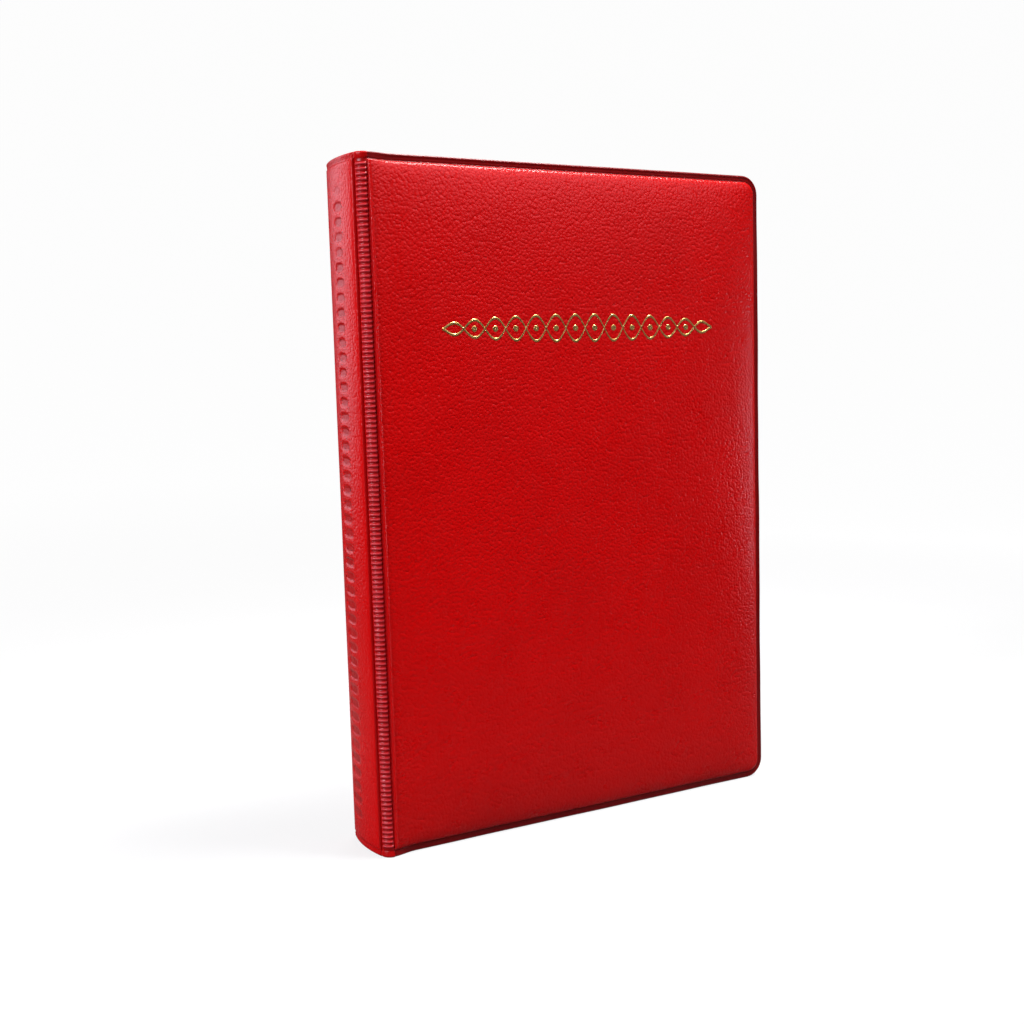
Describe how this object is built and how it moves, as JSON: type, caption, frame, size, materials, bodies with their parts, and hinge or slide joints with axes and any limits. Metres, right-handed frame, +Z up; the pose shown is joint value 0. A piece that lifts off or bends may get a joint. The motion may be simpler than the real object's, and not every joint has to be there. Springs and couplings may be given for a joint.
{
  "type": "coin album",
  "caption": "Upright coin album: padded red leatherette covers on a rounded, weld-spotted spine, ribbed soft hinges, and clear pocket leaves turning on a plastic coil.",
  "frame": {"origin": "centre of the closed album's footprint, on the surface that its tail edge stands on", "axes": "+Z up along the spine from tail to head, +X from the spine to the fore edge, -Y out of the front cover"},
  "size_m": [0.21, 0.04, 0.297],
  "materials": {
    "red_leatherette": "satin",
    "red_liner": "satin",
    "foam": "matte",
    "greyboard": "matte",
    "gold_foil": "polished",
    "coil_plastic": "gloss",
    "white_sheet": "satin",
    "clear_film": "gloss",
    "strip_plastic": "satin"
  },
  "bodies": {
    "spine": {"spine_outer_skin": "red_leatherette", "spine_stiffener_front": "greyboard", "spine_stiffener_back": "greyboard", "spine_liner": "red_liner", "coil_tab_strip": "red_liner", "binding_coil": "coil_plastic", "front_hinge_strip": "red_leatherette", "back_hinge_strip": "red_leatherette"},
    "front_cover": {"front_outer_skin": "red_leatherette", "front_foam_pad": "foam", "front_board": "greyboard", "front_liner": "red_liner", "title_foil": "gold_foil"},
    "back_cover": {"back_outer_skin": "red_leatherette", "back_foam_pad": "foam", "back_board": "greyboard", "back_liner": "red_liner"},
    "leaf_01": {"leaf_01_backing": "white_sheet", "leaf_01_pocket_film": "clear_film", "leaf_01_binding_strip": "strip_plastic"},
    "leaf_02": {"leaf_02_backing": "white_sheet", "leaf_02_pocket_film": "clear_film", "leaf_02_binding_strip": "strip_plastic"},
    "leaf_03": {"leaf_03_backing": "white_sheet", "leaf_03_pocket_film": "clear_film", "leaf_03_binding_strip": "strip_plastic"},
    "leaf_04": {"leaf_04_backing": "white_sheet", "leaf_04_pocket_film": "clear_film", "leaf_04_binding_strip": "strip_plastic"},
    "leaf_05": {"leaf_05_backing": "white_sheet", "leaf_05_pocket_film": "clear_film", "leaf_05_binding_strip": "strip_plastic"},
    "leaf_06": {"leaf_06_backing": "white_sheet", "leaf_06_pocket_film": "clear_film", "leaf_06_binding_strip": "strip_plastic"},
    "leaf_07": {"leaf_07_backing": "white_sheet", "leaf_07_pocket_film": "clear_film", "leaf_07_binding_strip": "strip_plastic"},
    "leaf_08": {"leaf_08_backing": "white_sheet", "leaf_08_pocket_film": "clear_film", "leaf_08_binding_strip": "strip_plastic"},
    "leaf_09": {"leaf_09_backing": "white_sheet", "leaf_09_pocket_film": "clear_film", "leaf_09_binding_strip": "strip_plastic"},
    "leaf_10": {"leaf_10_backing": "white_sheet", "leaf_10_pocket_film": "clear_film", "leaf_10_binding_strip": "strip_plastic"}
  },
  "joints": [
    {"name": "front_cover_hinge", "type": "hinge", "parent": "spine", "child": "front_cover", "pos_m": [-0.1017, -0.0185, 0], "axis": [0, 0, -1], "range_deg": [0, 179.5], "deforming": ["front_hinge_strip"]},
    {"name": "back_cover_hinge", "type": "hinge", "parent": "spine", "child": "back_cover", "pos_m": [-0.1017, 0.0185, 0], "axis": [0, 0, 1], "range_deg": [0, 179.5], "deforming": ["back_hinge_strip"]},
    {"name": "leaf_01_turn", "type": "hinge", "parent": "spine", "child": "leaf_01", "pos_m": [-0.0875, 0, 0], "axis": [0, 0, -1], "range_deg": [0, 96.75]},
    {"name": "leaf_02_turn", "type": "hinge", "parent": "spine", "child": "leaf_02", "pos_m": [-0.0875, 0, 0], "axis": [0, 0, -1], "range_deg": [0, 75.25]},
    {"name": "leaf_03_turn", "type": "hinge", "parent": "spine", "child": "leaf_03", "pos_m": [-0.0875, 0, 0], "axis": [0, 0, -1], "range_deg": [0, 53.75]},
    {"name": "leaf_04_turn", "type": "hinge", "parent": "spine", "child": "leaf_04", "pos_m": [-0.0875, 0, 0], "axis": [0, 0, -1], "range_deg": [0, 32.25]},
    {"name": "leaf_05_turn", "type": "hinge", "parent": "spine", "child": "leaf_05", "pos_m": [-0.0875, 0, 0], "axis": [0, 0, -1], "range_deg": [0, 10.75]},
    {"name": "leaf_06_turn", "type": "hinge", "parent": "spine", "child": "leaf_06", "pos_m": [-0.0875, 0, 0], "axis": [0, 0, 1], "range_deg": [0, 10.75]},
    {"name": "leaf_07_turn", "type": "hinge", "parent": "spine", "child": "leaf_07", "pos_m": [-0.0875, 0, 0], "axis": [0, 0, 1], "range_deg": [0, 32.25]},
    {"name": "leaf_08_turn", "type": "hinge", "parent": "spine", "child": "leaf_08", "pos_m": [-0.0875, 0, 0], "axis": [0, 0, 1], "range_deg": [0, 53.75]},
    {"name": "leaf_09_turn", "type": "hinge", "parent": "spine", "child": "leaf_09", "pos_m": [-0.0875, 0, 0], "axis": [0, 0, 1], "range_deg": [0, 75.25]},
    {"name": "leaf_10_turn", "type": "hinge", "parent": "spine", "child": "leaf_10", "pos_m": [-0.0875, 0, 0], "axis": [0, 0, 1], "range_deg": [0, 96.75]}
  ],
  "couplings": [
    {"joint": "leaf_01_turn", "follows": "front_cover_hinge", "ratio": 0.5375},
    {"joint": "leaf_02_turn", "follows": "front_cover_hinge", "ratio": 0.418},
    {"joint": "leaf_03_turn", "follows": "front_cover_hinge", "ratio": 0.2985},
    {"joint": "leaf_04_turn", "follows": "front_cover_hinge", "ratio": 0.179},
    {"joint": "leaf_05_turn", "follows": "front_cover_hinge", "ratio": 0.0597},
    {"joint": "leaf_06_turn", "follows": "back_cover_hinge", "ratio": 0.0597},
    {"joint": "leaf_07_turn", "follows": "back_cover_hinge", "ratio": 0.179},
    {"joint": "leaf_08_turn", "follows": "back_cover_hinge", "ratio": 0.2985},
    {"joint": "leaf_09_turn", "follows": "back_cover_hinge", "ratio": 0.418},
    {"joint": "leaf_10_turn", "follows": "back_cover_hinge", "ratio": 0.5375}
  ]
}
